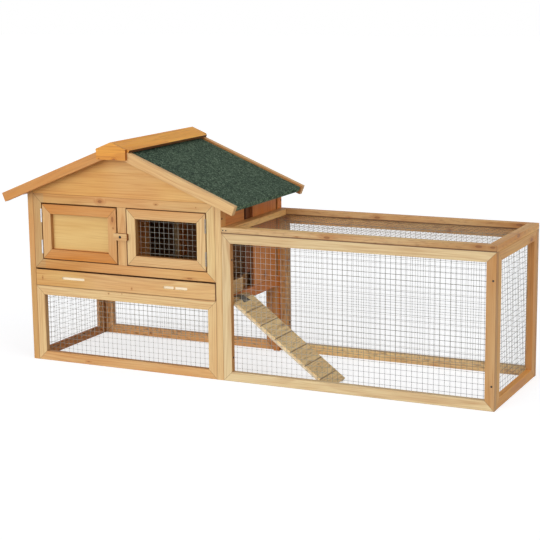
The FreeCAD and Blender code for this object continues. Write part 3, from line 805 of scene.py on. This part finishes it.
# The roof boards take shaded pine: painted shade under the felt.
for name in ("roof_board_left", "roof_board_right"):
    board_wood(name, "y", down_slope, 0.5, 18.0, "shaded_pine", wide=0.09, spread=0.4,
               centre=ridge, mirror=1.0)
board_wood("ridge_cap_boards", "y", down_slope, 0.35, 19.0, "cap", wide=one_board, spread=0.4,
           centre=ridge, mirror=1.0)
board_wood("ridge_cap_plates", "x", "z", 0.5, 20.0, "cap", wide=one_board,
           knots=[((-0.4212, -0.2523, 0.6475), 0.0016, (1, 1, 1)),
                  ((-0.3696, -0.2523, 0.6467), 0.0034, (0.7, 1, 1))])
# Painted shade on rear bargeboards' inner face, cap boards' lower edge, cap plates' right side;
# tops lighter.
tint_faces(("bargeboards_rear", to_front, (0.62, 0.44, 0.28)),
           ("ridge_cap_boards", cap_shaded_edge, (0.16, 0.12, 0.08)),
           ("ridge_cap_boards", to_top, (1.15, 1.11, 0.78)),
           ("ridge_cap_plates", to_right, (0.55, 0.40, 0.30)))
print("roof pitch", round(math.degrees(roof_pitch), 1), "degrees, ridge at", round(ridge.z, 3))

# %% [markdown]
# ## The run
# The run is four upright frames and one lying on top, its lid. Its timber is paler than that of
# the house, and its lid and back are mottled. The inner side of the strip beside the house is
# darkened with painted shade, and a dark line of painted shade under the lid shows the gap there.
# Painted light brightens the tops and right sides of the end frame and the lid, and the left part
# of the back frame.

# %% Wood of the run
# Painted shade: the line under the lid and the inner side of the strip beside the house.
lid_gap_shade = colour(74, 36, 16)
line_top, line_full = 0.4445, 0.4415
beside_house_shade = (0.74, 0.40, 0.10)
frame_wood("run_front_frame", "y", (0.12, 0.86, 0.05, 0.1), 21.0, "run_pine",
           seam_dark=0.7, edges=0.0, knots=clear)
frame_wood("run_back_frame", "y", (0.7, 0.4, 0.1, 0.6), 22.0, "mottled_pine", edges=0.4)
frame_wood("run_end_frame", "x", (0.55, 0.75, 0.8, 0.6), 23.0, seam_dark=0.5, edges=0.0,
           knots=[((0, 0.133, 0.4206), 0.0045, (0, 0.4, 1))])
frame_wood("run_top_frame", "z", (0.55, 0.65, 0.45, 0.8), 24.0, "mottled_run_pine", edges=0.0,
           knots=[((0.7304, -0.2023, 0.4527), 0.0036, (0.35, 0, 1)),
                  ((0.7691, -0.2023, 0.4525), 0.0030, (0.4, 0, 1)),
                  ((0.2882, -0.2023, 0.4487), 0.0022, (0.22, 0, 0.6)),
                  ((0.1958, -0.2022, 0.4450), 0.0010, (0.2, 0, 1)),
                  ((0.7812, -0.0003, 0.4535), 0.0050, (0.1, 0.35, 1))])
# Painted shade on the right-facing side of the strip beside the house.
tint_place(woods["run_front_frame"], X, 0.3, 0.2, 0.8, beside_house_shade, to_right, "MULTIPLY")
# Painted shade on the end frame's inner front faces; painted light on right sides and tops.
tint_faces(("run_end_frame", to_front, (0.80, 0.64, 0.46), 0.7),
           ("run_end_frame", to_right, (1.08, 1.04, 0.88)),
           ("run_end_frame", to_top, (1.35, 1.28, 0.90)),
           ("run_top_frame", to_right, (1.38, 1.28, 1.00)),
           ("run_top_frame", to_top, (1.15, 1.08, 0.84)))
# Painted shade: a dark line on the front of the lid for the gap under it.
tint_place(woods["run_top_frame"], Z, line_top, line_full, 0.85, lid_gap_shade, to_front)
drift("run_top_frame", (X, 0.40, 0.70, (0.82, 0.76, 0.66)), (X, 0.15, 0.0, (1.07, 1.09, 1.09)))
# Painted light: the back frame's left part, near the house, is brighter; its last centimetre
# darker.
drift("run_back_frame", (X, 0.45, 0.10, (1.4, 1.42, 1.35)), (X, 0.0, -0.012, (0.80, 0.80, 0.86)))
print("pieces with wood:", len(woods))

# %% [markdown]
# ## The ramp
# The ramp is unplaned board: greyer, with paler strips along its sides. Its planks lie across the
# slope, so their grain runs from side to side.

# %% Wood of the ramp
ramp_fall = 0.753
ramp_slope = math.atan(ramp_fall)
down_ramp = Vector((math.cos(ramp_slope), 0, -math.sin(ramp_slope)))
ramp_pin = Vector((-0.02025, 0, 0.241))
first_plank, plank_pitch = 0.0844, 0.0588
ramp_low, ramp_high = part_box("ramp_planks")
board_wood("ramp_planks", "y", down_ramp, 0.05, 25.0, "ramp", wide=plank_pitch, spread=0.6,
           centre=ramp_pin + first_plank * down_ramp, joint_wide=0.0028, joint_dark=1.0,
           knots=[((0.0923, -0.0815, 0.155), 0.0022, (0.3, 0.16, 1))])
board_wood("ramp_side_strips", down_ramp, "y", 0.0, 26.0, "raw", joint_dark=0.2)
board_wood("ramp_ledge", "y", "x", 0.2, 27.0, "ramp")
print("ramp from", round(ramp_high.z, 3), "down to", round(ramp_low.z, 3))

# %% [markdown]
# ## The door panel, the turn button and the tray
# The left door is filled with thin plywood, which is yellower and plainer than solid pine. Its
# rim is darker, a painted shade where the frame meets it, and the strip layout finds that rim as
# it finds the rim of a frame. The sides of the turn button carry painted shade too. The tray is
# plain raw board, painted darker inside the house as painted shade.

# %% Panel, button and tray
board_wood("left_door_panel", "x", "z", 0.35, 28.0, "panel", joint_wide=0.0025)
panel_wood = woods["left_door_panel"]
tree = panel_wood.node_tree
rim = place_strips(tree, "left_door_panel", "y", {"Seam Wide": 0.0030})["Rim"]
# Painted shade along the rim of the panel, where the frame meets it.
tint(panel_wood, times(tree, rim, 0.7), colour(196, 132, 66))
board_wood("turn_button", "x", "z", 0.4, 29.0, wide=one_board, knots=clear)
# Painted shade on the sides of the turn button.
tint_edges(woods["turn_button"], axis["y"], (0.38, 0.22, 0.12))
# Painted shade on the tray's faces inside the house.
for name, along, seed in (("drawer_base", "x", 30.0), ("drawer_sides", "y", 31.0),
                          ("drawer_back", "x", 32.0)):
    board_wood(name, along, "z", 0.9, seed, "ramp")
    tint_faces(*((name, direction, inside_shade) for direction in (to_right, to_front, to_top)))
print("pieces with wood:", len(woods))

# %% [markdown]
# ## Roofing felt
# Mineral felt is bitumen sheet rolled with crushed stone. From afar it is a dark green with a fine
# speckle. Cells of two sizes give the grains, each with a brightness of its own, a slow noise
# gives the patches, and the same grains drive the bump. Where the sheet folds down over the eave
# it catches more light, so the fold has a paler coat.

# %% Roofing felt
def make_felt():
    material, tree = new_material("green_felt")
    place = object_place(tree)
    grains = add(tree, "ShaderNodeTexVoronoi", {"Vector": place, "Scale": 420.0})
    coarse = add(tree, "ShaderNodeTexVoronoi", {"Vector": place, "Scale": 230.0})
    patches = add(tree, "ShaderNodeTexNoise", {"Vector": place, "Scale": 14.0, "Detail": 3.0})
    mixed = plus(tree, times(tree, random_parts(tree, grains)[0], 0.4),
                 times(tree, random_parts(tree, coarse)[1], 0.6))
    ground = blend_colour(tree, ramp_value(tree, patches.outputs["Fac"], 0.3, 0.7),
                          colour(53, 72, 57), colour(65, 84, 67))
    dark = blend_colour(tree, ramp_value(tree, mixed, 0.2, 0.5, 0.95, 0.0),
                        ground, colour(24, 38, 30))
    felt = blend_colour(tree, ramp_value(tree, mixed, 0.55, 0.85, 0.0, 0.85),
                        dark, colour(112, 131, 108))
    finish_surface(tree, mixed, 0.6, 0.0008,
                   {"Base Color": felt, "Roughness": 0.92, "Specular IOR Level": 0.2})
    return material


green_felt = make_felt()
eave_fold = (1, 0, -0.1)
tint_facing(green_felt, eave_fold, (1.7, 1.75, 1.75))
for name in ("roof_felt_left", "roof_felt_right"):
    dress(name, green_felt)
print("felt laid")

# %% [markdown]
# ## Metals
# The mesh and the hinges are zinc, bright where it is new and brownish where it has dulled, and
# the screws and nails are blackened steel. Zinc isn't a mirror: a fine spangle makes its roughness
# and its brightness change from spot to spot. One group makes that change, and each metal places
# it with its own grain and colours. Towards the right end of the run the mesh reads darker against
# the white behind it, so its zinc has a darker coat there.

# %% Node group: spangle, and the metals
def make_spangle():
    tree, given, out = new_group(
        "spangle",
        {"Grain": 400.0, "Dull": (0.2, 0.2, 0.2, 1), "Bright": (0.5, 0.5, 0.5, 1)},
        {"Colour": COLOUR, "Roughness": FLOAT, "Height": FLOAT})
    place = object_place(tree)
    cells = add(tree, "ShaderNodeTexVoronoi", {"Vector": place, "Scale": given["Grain"]})
    smudge = add(tree, "ShaderNodeTexNoise", {"Vector": place, "Scale": 60.0, "Detail": 4.0})
    share = times(tree, plus(tree, random_parts(tree, cells)[0], smudge.outputs["Fac"]), 0.5)
    fill(tree, out, {"Colour": blend_colour(tree, share, given["Dull"], given["Bright"]),
                     "Roughness": plus(tree, times(tree, share, 0.3), 0.3), "Height": share})
    return tree


def make_metal(name, grain, dull, bright, metallic):
    material, tree = new_material(name)
    look = place_group(tree, spangle, {"Grain": grain, "Dull": dull, "Bright": bright})
    finish_surface(tree, look["Height"], 0.15, 0.0002,
                   {"Base Color": look["Colour"], "Roughness": look["Roughness"],
                    "Metallic": metallic})
    return material


spangle = make_spangle()
metals = {}
for name, grain, dull, bright, metallic, dressed in (
        ("wire_zinc", 500.0, (138, 136, 126), (176, 172, 160), 0.2, ()),
        ("run_zinc", 500.0, (148, 146, 138), (186, 182, 172), 0.2, ()),
        ("lid_zinc", 500.0, (112, 92, 70), (150, 128, 102), 0.2, ()),
        ("dull_zinc", 300.0, (112, 104, 94), (170, 160, 146), 0.4,
         ("right_hinge_frame_leaves", "right_hinge_door_leaves")),
        ("ramp_steel", 300.0, (44, 42, 38), (120, 116, 104), 0.5,
         ("ramp_hinge_ledge_leaf", "ramp_hinge_ramp_leaf")),
        ("hinge_zinc", 300.0, (172, 176, 182), (226, 228, 232), 0.8,
         ("left_hinge_frame_leaves", "left_hinge_door_leaves")),
        ("black_steel", 600.0, (28, 27, 26), (62, 60, 58), 0.6,
         ("turn_button_screw", "frame_screws", "run_top_nails"))):
    metals[name] = make_metal(name, grain, colour(*dull), colour(*bright), metallic)
    for piece in dressed:
        dress(piece, metals[name])
dark_coat = (0.24, 0.24, 0.25)
tint_place(metals["run_zinc"], X, 0.12, 0.50, 1.0, dark_coat, kind="MULTIPLY")
print("metals:", ", ".join(metals))

# %% [markdown]
# ## Welded mesh
# Welded mesh is two layers of straight round wires: the uprights lie on the frame, the level ones
# on the uprights, and a spot weld sinks them a little into each other at every crossing. Each wire
# is a thin round tube with six sides and smooth shading. It is bent a hair's breadth between
# crossings, because a perfectly straight mesh looks printed. The extent and the plane come from
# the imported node, and the pitch is the usual 16 mm.

# %% Round wires
wire = 0.00092
packed_wire = 0.001
pitch = 0.016
sides = 6
bend = 0.00022
bend_every = 5 * pitch
# How high the middle of each layer lies, in wires. Unwelded, the second would be at 1.5.
first_layer, second_layer = 0.5, 1.42


def wire_middles(low, high):
    count = int((high - low - packed_wire) / pitch + 1e-6) + 1
    first = (low + high - (count - 1) * pitch) / 2
    return [first + i * pitch for i in range(count)]


def wobble(number, step):
    """A small shift for one point of one wire. The uneven factors keep it from repeating."""
    return bend * math.sin(number * 12.9898 + step * 4.1414) * math.cos(number * 3.7 + step * 1.3)


def lay_wire(bm, start, end, side, out, number):
    """One round wire from start to end. Side and out are the two directions square to it."""
    bends = max(2, round((end - start).length / bend_every))
    rings = []
    for step in range(bends + 1):
        middle = start.lerp(end, step / bends) + side * wobble(number, step)
        ring = []
        for i in range(sides):
            angle = math.tau * (i + 0.5) / sides
            outward = side * math.cos(angle) + out * math.sin(angle)
            ring.append(bm.verts.new(middle + outward * (wire / 2)))
        rings.append(ring)
    for a, b in zip(rings, rings[1:]):
        for i in range(sides):
            face = bm.faces.new((a[i], a[(i + 1) % sides], b[(i + 1) % sides], b[i]))
            face.smooth = True
    bm.faces.new(rings[0][::-1])
    bm.faces.new(rings[-1])


def link_mesh(name, bm, material):
    bmesh.ops.recalc_face_normals(bm, faces=bm.faces)
    mesh = bpy.data.meshes.new(name)
    bm.to_mesh(mesh)
    bm.free()
    mesh.materials.append(material)
    piece = bpy.data.objects.new(name, mesh)
    bpy.context.scene.collection.objects.link(piece)
    return piece


def weld_mesh(node, across, inward, metal="wire_zinc", body="hutch"):
    """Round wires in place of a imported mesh. Inward is the side of the frame that they lie on."""
    low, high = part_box(node)
    u, v, w = plane_axes[across]
    seat = low[w] if inward > 0 else high[w]
    layers = (seat + inward * wire * first_layer, seat + inward * wire * second_layer)
    side_u, side_v, out = Vector(), Vector(), Vector()
    side_u[u] = side_v[v] = out[w] = 1
    bm = bmesh.new()
    number = 0
    for layer, (run, step, side) in zip(layers, ((v, u, side_u), (u, v, side_v))):
        for middle in wire_middles(low[step], high[step]):
            start, end = Vector(), Vector()
            start[step] = end[step] = middle
            start[w] = end[w] = layer
            start[run], end[run] = low[run], high[run]
            lay_wire(bm, start, end, side, out, number)
            number += 1
    piece = link_mesh(node + "_wires", bm, metals[metal])
    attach(piece, body)
    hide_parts(node)
    return number


wire_count = 0
for panel in (("run_back_mesh", "y", -1), ("lower_front_mesh", "y", 1),
              ("lower_back_mesh", "y", -1), ("lower_left_mesh", "x", 1),
              ("run_front_mesh", "y", 1, "run_zinc"), ("run_end_mesh", "x", -1, "run_zinc"),
              ("run_top_mesh", "z", -1, "lid_zinc"),
              ("right_door_mesh", "y", 1, "wire_zinc", "right_door")):
    wire_count += weld_mesh(*panel)
print("wires:", wire_count)

# %% [markdown]
# ## The studio
# A pale floor, a white surround and soft light. The surround is white for the camera and for
# reflections only, and lights the object more gently, so the colours of the wood render about as
# they are written. The floor adds a little glow of its own for the camera, so that it reads white
# where no shadow falls, and the shadow under the hutch stays.

# %% Floor
def camera_sees(tree):
    rays = add(tree, "ShaderNodeLightPath").outputs
    seen = calc(tree, "MAXIMUM", rays["Is Camera Ray"], rays["Is Glossy Ray"])
    return calc(tree, "MAXIMUM", seen, rays["Is Transmission Ray"])


floor_half, floor_gap = 25, 0.0003
lit_grey, seen_grey = (0.62, 0.62, 0.62, 1), (0.44, 0.45, 0.47, 1)
floor_glow, surround_light = 0.74, 0.26
floor_bm = bmesh.new()
bmesh.ops.create_grid(floor_bm, x_segments=8, y_segments=8, size=floor_half)
floor_material, floor_tree = new_material("studio_floor")
seen = camera_sees(floor_tree)
fill(floor_tree, principled(floor_tree), {
    "Base Color": blend_colour(floor_tree, seen, lit_grey, seen_grey),
    "Roughness": 0.9, "Specular IOR Level": 0.0, "Emission Color": white,
    "Emission Strength": times(floor_tree, seen, floor_glow)})
floor = link_mesh("studio_floor", floor_bm, floor_material)
floor.location.z = -floor_gap
print("floor", [round(v, 1) for v in floor.dimensions])

# %% Surround and lamps
bpy.context.scene.view_settings.view_transform = "Standard"
world = bpy.data.worlds.new("white_surround")
world.use_nodes = True
bpy.context.scene.world = world
sky = world.node_tree
fill(sky, sky.nodes["Background"],
     {"Color": white, "Strength": blend_value(sky, camera_sees(sky), surround_light, 1.0)})


def shine(name, towards, strength, softness):
    """A far, soft lamp. Towards is the direction from the object to the lamp."""
    data = bpy.data.lights.new(name, "SUN")
    data.energy = strength
    data.angle = math.radians(softness)
    lamp = bpy.data.objects.new(name, data)
    lamp.rotation_euler = Vector(towards).to_track_quat("Z", "Y").to_euler()
    bpy.context.scene.collection.objects.link(lamp)


shine("key_lamp", (-0.3, -0.88, 0.26), 1.3, 45)
shine("front_lamp", (0.08, -0.99, 0.10), 1.05, 35)
shine("top_lamp", (0.1, -0.3, 1.0), 0.5, 70)
shine("side_lamp", (0.94, -0.28, 0.3), 0.86, 50)
